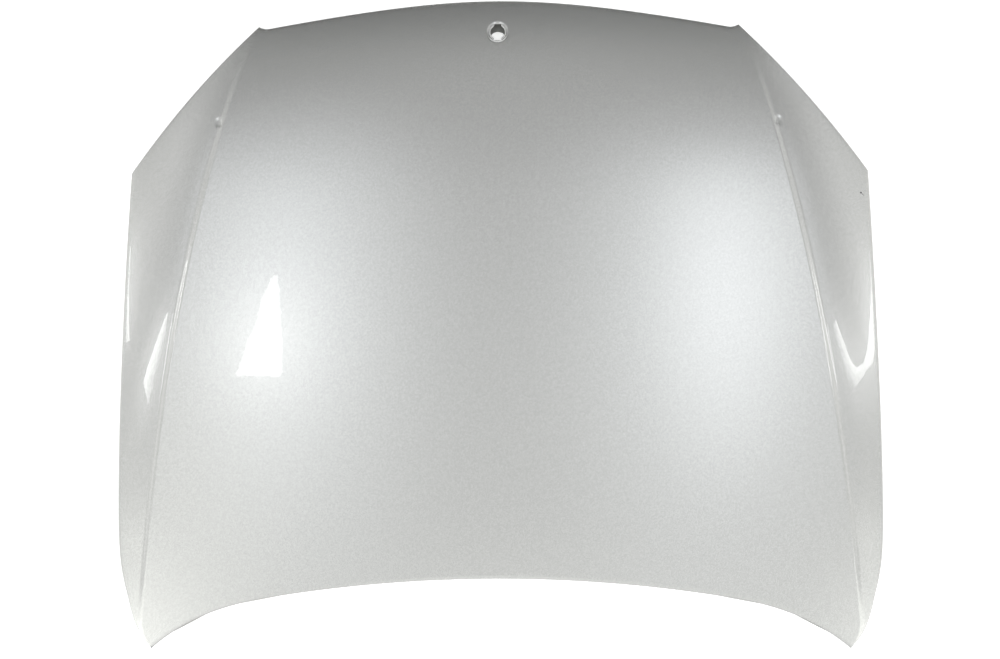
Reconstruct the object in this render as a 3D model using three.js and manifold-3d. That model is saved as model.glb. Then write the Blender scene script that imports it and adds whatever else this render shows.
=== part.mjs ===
// A bare car bonnet, lying as it would come to rest on its two rear tips and its two front ears.
// Millimetres. +X is across the car, +Y is forward to the nose, +Z is up.
// The pieces are drawn in plan first: x across, s forward from the rear tips. One height function
// then lifts every point onto the crowned panel, so each piece follows the same surface.

import * as THREE from 'three';
import { mergeVertices } from 'three/addons/utils/BufferGeometryUtils.js';
import Module from 'manifold-3d';

const wasm = await Module();
wasm.setup();

// Plan of the outer edge
const bonnetLength = 1290;        // rear tips to the middle of the nose
const cornerHalfWidth = 733.5;    // half the width where the side edge meets the headlight cut
const cornerSetBack = 340;        // the corners lie this far behind the nose
const tipHalfWidth = 698;         // half the distance between the rear tips
const rearSetIn = 148.5;          // the middle of the rear edge lies this far forward of the tips
const rearRadius = 2550;          // windscreen curve of the rear edge
const tipStart = 425;             // from here out the rear edge falls faster, to the tip
const earHalfWidth = 477;         // half the distance between the front ears
const earSetBack = 48;            // the ears lie this far behind the nose
const earRise = 8.5;              // the pointed end of each ear
const earWidth = 20;
const noseSoftness = 274;         // how gently the front edge turns at the middle
const cutBow = 7;                 // the headlight cut is this much fuller than a straight line
const sideBow = [[-8, 38], [10, 98], [26.5, 200], [24, 400], [12, 690]]; // beyond the corner, from the tips

// Crown of the panel
const crownFromTips = 650;        // highest point of the middle line
const crownRadiusAlong = 3240;
const crownRadiusAcross = 3400;
const noseRoll = 440;             // length over which the nose rolls down

// Creases, from the rear tips to the ears, and the pans outboard of them
const creaseTail = 720.5;         // the crease would end here, but turns in to meet the tip
const creaseTurnIn = 60;
const creaseRearPull = 679;       // half widths that the curve is drawn towards on its way
const creaseFrontPull = 618;
const creaseFade = 220;           // the flute fades out over this length at both ends
const fluteWidth = 13;
const fluteStep = 3.2;
const panSlope = 0.05;            // extra fall of the pan at the crease, mm for each mm
const panRadius = 500;

// Sheets and hem
const outerThickness = 1.1;
const innerThickness = 0.9;
const sheetGap = 0.35;            // clearance between pieces that touch
const hemWidth = 15;
const sharpestMitre = 0.4;        // an edge loop's step grows no further than this at its corners
const hemBlend = 8;               // the higher, the closer to the hem the grid follows it

// Badge seat in the nose, with a keyed hole
const badgeFromNose = 66;
const badgeRadius = 22;
const badgeDepth = 4;
const badgeWall = 3;
const badgeEase = 0.4;            // the seat's wall starts this far below the skin
const badgeHoleRadius = 14;
const badgeKeyWidth = 14;
const badgeKeyReach = 16.5;

// Small raised pips beside the creases
const pipFromNose = 242;
const pipBeyondCrease = 17;
const pipRadius = 11;
const pipHeight = 1.6;

// Inner panel: a deep frame round the edge and beads along the middle
const frameWall = 15;
const frameFloor = 46;
const frameDepth = 24;
const valleyDepth = 15;
const crestDepth = 5;
const beadCount = 5;
const crestShare = 0.14;          // crest and wall widths as shares of the half width
const wallShare = 0.045;
const slotWidth = 56;
const slotLength = 120;
const outerSlotShares = [0.3, 0.54];        // places of the slots along the outer and middle valleys
const middleSlotShares = [0.19, 0.41, 0.67];
const sightHoleRadius = 17;       // hole behind the badge
const sightHoleSetBack = 4;
const cornerEase = 0.4;           // share by which each pass rounds the frame's corners off
const frameSpread = 0.5;          // share of even spacing along the frame's floor

// Hinge and latch pads, pressed into the inner panel
const padRecess = 29;             // depth of a pad's face below the skin
const padCornerRadius = 12;
const padLap = 0.35;              // the pad's walls reach this far into the sheet round them
const padSink = 0.3;
const padWallDepth = 40;          // room below the sheet in which the walls may run
const hingePadWidth = 64;
const hingePadLength = 150;
const hingePadInset = 111.5;      // from the corner's half width
const hingePadFromTips = 214;
const hingeBoltSpacing = 90;
const latchPadWidth = 150;
const latchPadLength = 74;
const latchPadFromNose = 165;
const latchBoltSpacing = 104;
const boltHoleRadius = 5.5;
const plateThickness = 2;
const plateMargin = 3.5;          // plate edge to the pad's wall
const plateCornerRadius = 10;
const nutRadius = 8;
const nutHeight = 7;
const nutBore = 4.4;
const boltRadius = 4;
const boltHeadRadius = 7.5;
const boltHeadHeight = 5;
const boltChamfer = 1;

// Striker
const strikerPlateThickness = 2.5;
const strikerPlateWidth = 134;
const strikerPlateLength = 52;
const strikerCornerRadius = 14;
const loopWireRadius = 4;
const loopWidth = 46;
const loopDrop = 50;
const loopBend = 12;

// Mastic pads between the bead crests and the skin
const masticRadius = 17;
const masticSquash = 1.5;         // the middle of a pad bulges this far beyond its faces
const masticTopGap = 0.85;        // below the true curve of the skin, which the facets cut across
const masticBaseGap = 0.1;
const masticShares = [0.24, 0.62];

// Mesh stations
const rowsBesideCorner = 13;
const rowsBesideCut = 8;
const cornerShare = 0.739;        // share of the crease's length that lies behind the corner
const rowGrading = 1.3;           // rows lie closer together towards the tips
const panColumns = 6;
const fluteColumns = 2;
const seatSides = 20;
const pipSides = 8;
const masticSides = 8;
const cutReach = 60;              // a cutter reaches this far on both sides of the sheet

const earS = bonnetLength - earSetBack;
const cornerS = bonnetLength - cornerSetBack;
const badgeS = bonnetLength - badgeFromNose;
const pipS = bonnetLength - pipFromNose;
const latchPadS = bonnetLength - latchPadFromNose;
const hingePadX = cornerHalfWidth - hingePadInset;
const hemDepth = 2 * outerThickness + innerThickness + 2 * sheetGap;
const hemRadius = hemDepth / 2;
const valleyShare = (2 - beadCount * (crestShare + 2 * wallShare)) / (beadCount - 1);

const smooth = (t) => {
  const c = THREE.MathUtils.clamp(t, 0, 1);
  return c * c * (3 - 2 * c);
};

// Plan curves

function rearEdge(x) {
  const past = Math.max(Math.abs(x) - tipStart, 0) / (tipHalfWidth - tipStart);
  const tipFall = rearSetIn - tipHalfWidth ** 2 / (2 * rearRadius);
  return rearSetIn - x * x / (2 * rearRadius) - tipFall * past ** 3;
}

function frontEdge(x) {
  const sweep = (a) => Math.hypot(a, noseSoftness) - noseSoftness;
  const ear = Math.max(Math.abs(x) - (earHalfWidth - earWidth), 0) / earWidth;
  const fall = (earSetBack + earRise) * sweep(x) / sweep(earHalfWidth);
  return bonnetLength - fall + earRise * ear * ear;
}

const tip = new THREE.Vector2(tipHalfWidth, 0);
const ear = new THREE.Vector2(earHalfWidth, earS);
const corner = new THREE.Vector2(cornerHalfWidth, cornerS);

const sideCurve = new THREE.SplineCurve([
  tip,
  ...sideBow.map(([x, s]) => new THREE.Vector2(cornerHalfWidth + x, s)),
  corner,
]);

const cutAcross = ear.clone().sub(corner).normalize();
const cutNormal = new THREE.Vector2(cutAcross.y, -cutAcross.x);
const cutCurve = new THREE.QuadraticBezierCurve(
  corner,
  corner.clone().add(ear).multiplyScalar(0.5).addScaledVector(cutNormal, 2 * cutBow),
  ear,
);

function outerEdge(v) {
  if (v <= cornerShare) {
    return sideCurve.getPointAt(v / cornerShare);
  }
  return cutCurve.getPoint((v - cornerShare) / (1 - cornerShare));
}

// Half the distance between the creases: one smooth curve from tip to ear
function creaseHalfWidth(s) {
  const t = THREE.MathUtils.clamp(s / earS, 0, 1);
  const rear = creaseTail * (1 - t) ** 3 + 3 * creaseRearPull * t * (1 - t) ** 2;
  const front = 3 * creaseFrontPull * t * t * (1 - t) + earHalfWidth * t ** 3;
  const turnIn = Math.max(1 - s / creaseTurnIn, 0);
  return rear + front - (creaseTail - tipHalfWidth) * turnIn * turnIn;
}

// Heights

function crown(x, s) {
  return -((s - crownFromTips) ** 2) / (2 * crownRadiusAlong) - x * x / (2 * crownRadiusAcross);
}

const rollAt = (s) => Math.max(s - (bonnetLength - noseRoll), 0) / noseRoll;
const rollDrop = (crown(ear.x, ear.y) - crown(tip.x, tip.y)) / rollAt(earS) ** 3;

function skinHeight(x, s) {
  const beyond = Math.max(Math.abs(x) - creaseHalfWidth(s), 0);
  const fade = smooth((earS - s) / creaseFade) * smooth(s / creaseFade);
  const flute = fluteStep * fade * smooth(beyond / fluteWidth);
  const pan = panSlope * beyond + beyond * beyond / (2 * panRadius);
  return crown(x, s) - rollDrop * rollAt(s) ** 3 - flute - pan;
}

function skinNormal(x, s) {
  const e = 2;
  const dx = (skinHeight(x + e, s) - skinHeight(x - e, s)) / (2 * e);
  const ds = (skinHeight(x, s + e) - skinHeight(x, s - e)) / (2 * e);
  return new THREE.Vector3(-dx, -ds, 1).normalize();
}

// The point that lies a given depth below the skin, square to it
function under(p, depth) {
  const n = skinNormal(p.x, p.y);
  return new THREE.Vector3(p.x, p.y, skinHeight(p.x, p.y)).addScaledVector(n, -depth);
}

// Height of the skin over the surface that the bonnet lies on
const standing = (p) => skinHeight(p.x, p.y) - skinHeight(tip.x, tip.y) + hemDepth;

// A frame square to the skin: x across the car, z out of the panel
function skinFrame(x, s, depth) {
  const z = skinNormal(x, s);
  const xAxis = new THREE.Vector3(1, 0, 0).addScaledVector(z, -z.x).normalize();
  const yAxis = new THREE.Vector3().crossVectors(z, xAxis);
  const origin = under(new THREE.Vector2(x, s), depth);
  return new THREE.Matrix4().makeBasis(xAxis, yAxis, z).setPosition(origin);
}

// Mesh helpers

class Shell {
  constructor() {
    this.positions = [];
    this.index = [];
  }

  point(v) {
    this.positions.push(v.x, v.y, v.z);
    return this.positions.length / 3 - 1;
  }

  loop(points) {
    return points.map((v) => this.point(v));
  }

  face(a, b, c) {
    if (a !== b && b !== c && c !== a) {
      this.index.push(a, b, c);
    }
  }

  distance(a, b) {
    const [p, q] = [a, b].map((k) => new THREE.Vector3().fromArray(this.positions, 3 * k));
    return p.distanceTo(q);
  }

  // Two faces that meet on the shorter diagonal, so that sheets with the same points fold alike
  quad(a, b, c, d) {
    const corners = this.distance(a, c) < this.distance(b, d) ? [a, b, c, d] : [b, c, d, a];
    this.face(corners[0], corners[1], corners[2]);
    this.face(corners[0], corners[2], corners[3]);
  }

  // Side wall from an upper loop to the next, both running the same way round
  band(upper, lower) {
    upper.forEach((a, k) => {
      const next = (k + 1) % upper.length;
      this.quad(a, lower[k], lower[next], upper[next]);
    });
  }

  // Grid of points, facing up or down
  grid(rows, up) {
    for (let j = 0; j + 1 < rows.length; j += 1) {
      for (let i = 0; i + 1 < rows[j].length; i += 1) {
        const corners = [rows[j][i], rows[j][i + 1], rows[j + 1][i + 1], rows[j + 1][i]];
        this.quad(...(up ? corners : corners.reverse()));
      }
    }
  }

  geometry() {
    const geometry = new THREE.BufferGeometry();
    geometry.setAttribute('position', new THREE.Float32BufferAttribute(this.positions, 3));
    geometry.setIndex(this.index);
    return geometry;
  }
}

function toSolid(geometry) {
  const bare = geometry.clone();
  bare.deleteAttribute('normal');
  bare.deleteAttribute('uv');
  const merged = mergeVertices(bare, 1e-4);
  return new wasm.Manifold(new wasm.Mesh({
    numProp: 3,
    vertProperties: Float32Array.from(merged.attributes.position.array),
    triVerts: Uint32Array.from(merged.index.array),
  }));
}

function toGeometry(solid) {
  const mesh = solid.getMesh();
  const geometry = new THREE.BufferGeometry();
  geometry.setAttribute('position', new THREE.BufferAttribute(mesh.vertProperties, 3));
  geometry.setIndex(new THREE.BufferAttribute(mesh.triVerts, 1));
  return geometry;
}

function roundedRect(width, length, radius, Shape = THREE.Shape) {
  const x = width / 2;
  const y = length / 2;
  const shape = new Shape();
  shape.moveTo(-x + radius, -y);
  shape.lineTo(x - radius, -y);
  shape.absarc(x - radius, -y + radius, radius, -Math.PI / 2, 0);
  shape.lineTo(x, y - radius);
  shape.absarc(x - radius, y - radius, radius, 0, Math.PI / 2);
  shape.lineTo(-x + radius, y);
  shape.absarc(-x + radius, y - radius, radius, Math.PI / 2, Math.PI);
  shape.lineTo(-x, -y + radius);
  shape.absarc(-x + radius, -y + radius, radius, Math.PI, Math.PI * 1.5);
  shape.closePath();
  return shape;
}

function circle(x, y, radius, Shape = THREE.Path) {
  const path = new Shape();
  path.absarc(x, y, radius, 0, Math.PI * 2);
  return path;
}

function prism(shape, bottom, top, curveSegments = 1) {
  const geometry = new THREE.ExtrudeGeometry(shape, {
    depth: top - bottom,
    bevelEnabled: false,
    curveSegments,
  });
  return geometry.translate(0, 0, bottom);
}

// Stations shared by the skin and the inner panel, so that their edges run together

function beadStations() {
  const stations = [-1];
  for (let bead = 0; bead < beadCount; bead += 1) {
    stations.push(stations.at(-1) + wallShare);
    stations.push(stations.at(-1) + crestShare);
    stations.push(stations.at(-1) + wallShare);
    stations.push(stations.at(-1) + valleyShare);
  }
  stations.pop();
  return stations;
}
const across = beadStations();

function rowStations() {
  const rows = [];
  for (let k = 0; k < rowsBesideCorner; k += 1) {
    rows.push(cornerShare * (k / rowsBesideCorner) ** rowGrading);
  }
  for (let k = 0; k <= rowsBesideCut; k += 1) {
    rows.push(cornerShare + (1 - cornerShare) * k / rowsBesideCut);
  }
  return rows;
}
const along = rowStations();

const mirrored = (p, side) => new THREE.Vector2(p.x * side, p.y);

// The outer edge as one loop, counter-clockwise from the left tip
const edgeLoop = [
  ...across.map((u) => new THREE.Vector2(u * tipHalfWidth, rearEdge(u * tipHalfWidth))),
  ...along.slice(1, -1).map((v) => outerEdge(v)),
  ...across.toReversed().map((u) => new THREE.Vector2(u * earHalfWidth, frontEdge(u * earHalfWidth))),
  ...along.slice(1, -1).reverse().map((v) => mirrored(outerEdge(v), -1)),
];

// Inward step at each point of a loop that moves both its edges by one millimetre
function inwardSteps(loop) {
  return loop.map((p, k) => {
    const before = loop.at(k - 1);
    const after = loop[(k + 1) % loop.length];
    const a = p.clone().sub(before).normalize();
    const b = after.clone().sub(p).normalize();
    const na = new THREE.Vector2(-a.y, a.x);
    const nb = new THREE.Vector2(-b.y, b.x);
    const n = na.add(nb).normalize();
    return n.divideScalar(Math.max(n.dot(nb), sharpestMitre));
  });
}

function insetLoop(loop, distances) {
  const steps = inwardSteps(loop);
  return loop.map((p, k) => p.clone().addScaledVector(steps[k], distances[k] ?? distances));
}

// A wide inset that rounds the corners off as it goes
function roundedInset(loop, distance, passes) {
  let current = loop;
  for (let pass = 0; pass < passes; pass += 1) {
    const moved = insetLoop(current, distance / passes);
    current = moved.map((p, k) => {
      const middle = moved.at(k - 1).clone().add(moved[(k + 1) % moved.length]).multiplyScalar(0.5);
      return p.clone().lerp(middle, cornerEase);
    });
  }
  return current;
}

const lastColumn = across.length - 1;
const lastRow = along.length - 1;
const rearIndex = (i) => i;
const rightIndex = (j) => lastColumn + j;
const frontIndex = (i) => 2 * lastColumn + lastRow - i;
const leftIndex = (j) => (j === 0 ? 0 : 2 * lastColumn + 2 * lastRow - j);

// Inner limit of the band where the sheets are clamped in the hem. Both have the same points there.
const flangeLoop = insetLoop(edgeLoop, hemWidth);

// A point of the crowned middle between the creases
function middlePoint(i, v) {
  const u = across[i];
  const rear = flangeLoop[rearIndex(i)];
  const front = flangeLoop[frontIndex(i)];
  const rearShift = (rear.x - u * tipHalfWidth) * (1 - v) ** hemBlend;
  const frontShift = (front.x - u * earHalfWidth) * v ** hemBlend;
  const x = u * creaseHalfWidth(earS * v) + rearShift + frontShift;
  return new THREE.Vector2(x, THREE.MathUtils.lerp(rear.y, front.y, v));
}

// A point of the right pan, counted in columns from the crease to the clamped band
function panPoint(column, j) {
  const inner = middlePoint(lastColumn, along[j]);
  const outer = flangeLoop[rightIndex(j)];
  const width = inner.distanceTo(outer);
  const flute = Math.min(fluteWidth, width / 3);
  const distance = column <= fluteColumns
    ? flute * column / fluteColumns
    : flute + (width - flute) * (column - fluteColumns) / (panColumns - fluteColumns);
  return inner.lerp(outer, distance / width);
}

// Outer panel

function hemLoops(shell) {
  const ring = (inset, depth) => shell.loop(insetLoop(edgeLoop, inset).map((p) => under(p, depth)));
  const r = hemRadius;
  const slant = r * Math.SQRT1_2;
  return [
    ring(hemWidth, 0),
    ring(r, 0),
    ring(r - slant, r - slant),
    ring(0, r),
    ring(r - slant, r + slant),
    ring(r, hemDepth),
    ring(hemWidth, hemDepth),
    ring(hemWidth, hemDepth - outerThickness),
    ring(r, hemDepth - outerThickness),
    ring(outerThickness, r),
    ring(r, outerThickness),
    ring(hemWidth, outerThickness),
  ];
}

// Rows of point numbers for one face of the skin, from pan to pan, inside the clamped band
function skinRows(shell, edge, depth) {
  return along.map((v, j) => {
    const atEnd = j === 0 || j === lastRow;
    const middle = across.map((u, i) => {
      if (atEnd) {
        return edge[j === 0 ? rearIndex(i) : frontIndex(i)];
      }
      return shell.point(under(middlePoint(i, v), depth));
    });
    const left = [];
    const right = [];
    for (let column = 1; column < panColumns && !atEnd; column += 1) {
      const p = panPoint(column, j);
      right.push(shell.point(under(p, depth)));
      left.push(shell.point(under(mirrored(p, -1), depth)));
    }
    if (atEnd) {
      left.push(...Array(panColumns).fill(middle[0]));
      right.push(...Array(panColumns).fill(middle.at(-1)));
    } else {
      left.push(edge[leftIndex(j)]);
      right.push(edge[rightIndex(j)]);
    }
    return [...left.reverse(), ...middle, ...right];
  });
}

function badgeHoleShape() {
  const shape = new THREE.Shape();
  const half = badgeKeyWidth / 2;
  const turn = Math.acos(half / badgeHoleRadius);
  shape.moveTo(half, badgeKeyReach);
  shape.lineTo(-half, badgeKeyReach);
  shape.absarc(0, 0, badgeHoleRadius, Math.PI - turn, Math.PI + turn);
  shape.lineTo(-half, -badgeKeyReach);
  shape.lineTo(half, -badgeKeyReach);
  shape.absarc(0, 0, badgeHoleRadius, -turn, turn);
  shape.closePath();
  return shape;
}

// A round place of the skin pressed in or out. Each level is a radius and its depth below the skin.
function pressedDisc(centre, levels, sides) {
  const shell = new Shell();
  const ring = (radius, depth) => {
    const points = [];
    for (let k = 0; k < sides; k += 1) {
      const turn = 2 * Math.PI * k / sides;
      const p = new THREE.Vector2(Math.cos(turn), Math.sin(turn)).multiplyScalar(radius).add(centre);
      points.push(under(p, depth));
    }
    return shell.loop(points);
  };
  const rings = levels.slice(0, -1);
  const floor = levels.at(-1)[1];
  const top = rings.map(([radius, depth]) => ring(radius, depth));
  const bottom = rings.map(([radius, depth]) => ring(radius, depth + outerThickness));
  const topCentre = shell.point(under(centre, floor));
  const bottomCentre = shell.point(under(centre, floor + outerThickness));
  top.at(-1).forEach((a, k) => shell.face(topCentre, a, top.at(-1)[(k + 1) % sides]));
  bottom.at(-1).forEach((a, k) => shell.face(bottomCentre, bottom.at(-1)[(k + 1) % sides], a));
  const path = [...top.toReversed(), ...bottom];
  path.slice(0, -1).forEach((loop, k) => shell.band(loop, path[k + 1]));
  return toSolid(shell.geometry());
}

// Cuts the skin out under a pressed disc, short of its lip, and puts the disc in its place
function press(skin, centre, levels, sides) {
  const lap = outerThickness / 2;
  const cut = prism(circle(0, 0, levels[0][0] - lap, THREE.Shape), -cutReach, cutReach, sides);
  return skin
    .subtract(toSolid(cut.applyMatrix4(skinFrame(centre.x, centre.y, 0))))
    .add(pressedDisc(centre, levels, sides));
}

const badgeLevels = [
  [badgeRadius + badgeWall, 0],
  [badgeRadius, badgeEase],
  [badgeRadius - badgeWall, badgeDepth],
  [0, badgeDepth],
];
const pipLevels = [
  [pipRadius, 0],
  [pipRadius * 0.6, -pipHeight * 0.8],
  [0, -pipHeight],
];

function outerPanel() {
  const shell = new Shell();
  const loops = hemLoops(shell);
  shell.grid(skinRows(shell, loops[0], 0), true);
  shell.grid(skinRows(shell, loops.at(-1), outerThickness), false);
  loops.slice(0, -1).forEach((loop, k) => shell.band(loop, loops[k + 1]));
  let skin = press(toSolid(shell.geometry()), new THREE.Vector2(0, badgeS), badgeLevels, seatSides);
  const pip = new THREE.Vector2(creaseHalfWidth(pipS) + pipBeyondCrease, pipS);
  for (const side of [-1, 1]) {
    skin = press(skin, mirrored(pip, side), pipLevels, pipSides);
  }
  const keyCut = prism(badgeHoleShape(), -cutReach, cutReach, 6).applyMatrix4(skinFrame(0, badgeS, 0));
  return skin.subtract(toSolid(keyCut));
}

// Inner panel

// Each bead takes four stations: up its wall, over its crest and down, then across the valley
const isCrest = (i) => i % 4 === 1 || i % 4 === 2;

// Spreads the points of a loop along each of its four sides, by even rows and the bead stations
function spreadSides(loop, share) {
  const even = along.map((v, j) => j / lastRow);
  const beads = across.map((u) => (u + 1) / 2);
  const sides = [
    [across.map((u, i) => rearIndex(i)), beads],
    [along.map((v, j) => rightIndex(j)), even],
    [across.map((u, i) => frontIndex(i)), beads],
    [along.map((v, j) => leftIndex(j)), even],
  ];
  const spread = [...loop];
  for (const [indices, shares] of sides) {
    const points = indices.map((k) => loop[k]);
    const lengths = [0];
    points.slice(1).forEach((p, k) => lengths.push(lengths[k] + p.distanceTo(points[k])));
    indices.forEach((k, n) => {
      const length = THREE.MathUtils.lerp(lengths[n], shares[n] * lengths.at(-1), share);
      const next = Math.max(lengths.findIndex((l) => l >= length), 1);
      const t = (length - lengths[next - 1]) / (lengths[next] - lengths[next - 1]);
      spread[k] = points[next - 1].clone().lerp(points[next], THREE.MathUtils.clamp(t, 0, 1));
    });
  }
  return spread;
}

const wallLoop = roundedInset(flangeLoop, frameWall, 2);
const floorLoop = spreadSides(roundedInset(wallLoop, frameFloor, 6), frameSpread);
const frameRings = {
  flange: flangeLoop,
  wall: wallLoop,
  floor: floorLoop,
  inside: spreadSides(roundedInset(floorLoop, frameWall, 2), 1),
};

const flangeDepth = outerThickness + sheetGap;

// The depth that the inner panel may have without reaching the surface below
const frameDepthAt = (p, depth) => Math.max(Math.min(depth, standing(p) / 2), flangeDepth);

// Points inside the frame, blended from the four sides of its inside loop
function beadGrid() {
  const loop = frameRings.inside;
  const rearLeft = loop[rearIndex(0)];
  const rearRight = loop[rearIndex(lastColumn)];
  const frontLeft = loop[frontIndex(0)];
  const frontRight = loop[frontIndex(lastColumn)];
  return along.map((v, j) => across.map((station, i) => {
    const u = (station + 1) / 2;
    const p = new THREE.Vector2();
    p.addScaledVector(loop[rearIndex(i)], 1 - v).addScaledVector(loop[frontIndex(i)], v);
    p.addScaledVector(loop[leftIndex(j)], 1 - u).addScaledVector(loop[rightIndex(j)], u);
    p.addScaledVector(rearLeft, -(1 - u) * (1 - v)).addScaledVector(rearRight, -u * (1 - v));
    p.addScaledVector(frontLeft, -(1 - u) * v).addScaledVector(frontRight, -u * v);
    return p;
  }));
}
const beadPlan = beadGrid();

function innerSheet(thickness, sink = 0) {
  const shell = new Shell();
  const rim = insetLoop(edgeLoop, hemRadius);
  const face = (extra) => {
    const ring = (loop, depth) => shell.loop(loop.map((p) => under(p, frameDepthAt(p, depth) + extra)));
    const flat = (loop) => shell.loop(loop.map((p) => under(p, flangeDepth + extra)));
    const inside = ring(frameRings.inside, valleyDepth);
    const rows = beadPlan.map((row, j) => row.map((p, i) => {
      if (j === 0 || j === lastRow) {
        return inside[j === 0 ? rearIndex(i) : frontIndex(i)];
      }
      if (i === 0 || i === lastColumn) {
        return inside[i === 0 ? leftIndex(j) : rightIndex(j)];
      }
      return shell.point(under(p, (isCrest(i) ? crestDepth : frameDepthAt(p, valleyDepth)) + extra));
    }));
    const loops = [
      inside,
      ring(frameRings.floor, frameDepth),
      ring(frameRings.wall, frameDepth),
      flat(frameRings.flange),
      flat(rim),
    ];
    return { rows, loops };
  };
  const top = face(sink);
  const bottom = face(thickness);
  shell.grid(top.rows, true);
  shell.grid(bottom.rows, false);
  const path = [...top.loops, ...bottom.loops.toReversed()];
  path.slice(0, -1).forEach((loop, k) => shell.band(loop, path[k + 1]));
  return toSolid(shell.geometry());
}

// A flat pad pressed down out of the sheet: walls that follow the sheet, and a level floor
function pressPad(sheet, deepSheet, frame, width, length) {
  const block = (grow, bottom, top) => {
    const shape = roundedRect(width + 2 * grow, length + 2 * grow, padCornerRadius + grow);
    return toSolid(prism(shape, bottom, top).applyMatrix4(frame));
  };
  const cut = block(-padLap, -cutReach, cutReach);
  const outside = block(0, -innerThickness, cutReach);
  const hollow = block(-innerThickness, 0, cutReach);
  return sheet.subtract(cut).add(outside.intersect(deepSheet).subtract(hollow));
}

const hingeFrame = (side) => skinFrame(side * hingePadX, hingePadFromTips, padRecess);
const latchFrame = skinFrame(0, latchPadS, padRecess);
const hingeBolts = [-hingeBoltSpacing / 2, hingeBoltSpacing / 2];
const latchBolts = [-latchBoltSpacing / 2, latchBoltSpacing / 2];

function drill(solid, frame, x, y, radius) {
  const hole = prism(circle(x, y, radius, THREE.Shape), -padWallDepth, padWallDepth, 6).applyMatrix4(frame);
  return solid.subtract(toSolid(hole));
}

// The row of the grid that lies nearest behind a share of the length
const rowAt = (share) => along.findIndex((v) => v >= share);

// The middle between a station and the next, on a row
const betweenStations = (i, j) => beadPlan[j][i].clone().add(beadPlan[j][i + 1]).multiplyScalar(0.5);

function innerPanel() {
  let panel = innerSheet(innerThickness);
  const deep = innerSheet(padWallDepth, padSink);
  for (const side of [-1, 1]) {
    panel = pressPad(panel, deep, hingeFrame(side), hingePadWidth, hingePadLength);
    for (const y of hingeBolts) {
      panel = drill(panel, hingeFrame(side), 0, y, boltHoleRadius);
    }
  }
  panel = pressPad(panel, deep, latchFrame, latchPadWidth, latchPadLength);
  for (const x of latchBolts) {
    panel = drill(panel, latchFrame, x, 0, boltHoleRadius);
  }
  panel = drill(panel, skinFrame(0, badgeS, frameDepth), 0, -sightHoleSetBack, sightHoleRadius);
  for (let valley = 0; valley + 1 < beadCount; valley += 1) {
    const atSide = valley === 0 || valley + 2 === beadCount;
    for (const share of atSide ? outerSlotShares : middleSlotShares) {
      const p = betweenStations(4 * valley + 3, rowAt(share));
      const slot = prism(roundedRect(slotWidth, slotLength, slotWidth / 2), -cutReach, cutReach, 2);
      panel = panel.subtract(toSolid(slot.applyMatrix4(skinFrame(p.x, p.y, valleyDepth))));
    }
  }
  return panel;
}

// Pieces between and below the sheets

function padPlate(width, length, holes) {
  const shape = roundedRect(width, length, plateCornerRadius);
  holes.forEach(([x, y]) => shape.holes.push(circle(x, y, boltHoleRadius)));
  return prism(shape, 0, plateThickness, 4);
}

function weldNut() {
  const corners = [];
  for (let k = 0; k < 6; k += 1) {
    const turn = Math.PI * k / 3;
    corners.push(new THREE.Vector2(nutRadius * Math.cos(turn), nutRadius * Math.sin(turn)));
  }
  const shape = new THREE.Shape(corners);
  shape.holes.push(circle(0, 0, nutBore));
  return prism(shape, 0, nutHeight, 6);
}

function strikerBolt(shankLength) {
  const profile = [
    [0, -boltHeadHeight],
    [boltHeadRadius - boltChamfer, -boltHeadHeight],
    [boltHeadRadius, boltChamfer - boltHeadHeight],
    [boltHeadRadius, 0],
    [boltRadius, 0],
    [boltRadius, shankLength - boltChamfer],
    [boltRadius - boltChamfer, shankLength],
    [0, shankLength],
  ].map(([x, y]) => new THREE.Vector2(x, y));
  return new THREE.LatheGeometry(profile, 12).rotateX(Math.PI / 2);
}

// A bent wire: down one leg, round a bend, across, and up the other leg
function strikerLoop() {
  const half = loopWidth / 2;
  const at = (x, z) => new THREE.Vector3(x, 0, z);
  const bendFrom = at(-half, loopBend - loopDrop);
  const bendTo = at(loopBend - half, -loopDrop);
  const turnFrom = at(half - loopBend, -loopDrop);
  const turnTo = at(half, loopBend - loopDrop);
  const path = new THREE.CurvePath();
  path.add(new THREE.LineCurve3(at(-half, 0), bendFrom));
  path.add(new THREE.QuadraticBezierCurve3(bendFrom, at(-half, -loopDrop), bendTo));
  path.add(new THREE.LineCurve3(bendTo, turnFrom));
  path.add(new THREE.QuadraticBezierCurve3(turnFrom, at(half, -loopDrop), turnTo));
  path.add(new THREE.LineCurve3(turnTo, at(half, 0)));
  return new THREE.ExtrudeGeometry(circle(0, 0, loopWireRadius, THREE.Shape), {
    extrudePath: path,
    steps: 18,
    curveSegments: 5,
    bevelEnabled: false,
  });
}

// A flattened blob whose faces follow the skin above it and the crest below it
function masticPad(centre) {
  const shell = new Shell();
  const upper = outerThickness + masticTopGap;
  const lower = crestDepth - masticBaseGap;
  const ring = (radius, depth) => {
    const points = [];
    for (let k = 0; k < masticSides; k += 1) {
      const turn = 2 * Math.PI * k / masticSides;
      const offset = new THREE.Vector2(Math.cos(turn), Math.sin(turn)).multiplyScalar(radius);
      points.push(under(centre.clone().add(offset), depth));
    }
    return shell.loop(points);
  };
  const loops = [
    ring(masticRadius - masticSquash, upper),
    ring(masticRadius, (upper + lower) / 2),
    ring(masticRadius - masticSquash, lower),
  ];
  const top = shell.point(under(centre, upper));
  const bottom = shell.point(under(centre, lower));
  loops[0].forEach((a, k) => shell.face(top, a, loops[0][(k + 1) % masticSides]));
  loops[2].forEach((a, k) => shell.face(bottom, loops[2][(k + 1) % masticSides], a));
  shell.band(loops[0], loops[1]);
  shell.band(loops[1], loops[2]);
  return shell.geometry();
}

// Finishes

function finish(color, roughness, metalness) {
  return new THREE.MeshStandardMaterial({ color, roughness, metalness });
}

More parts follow.
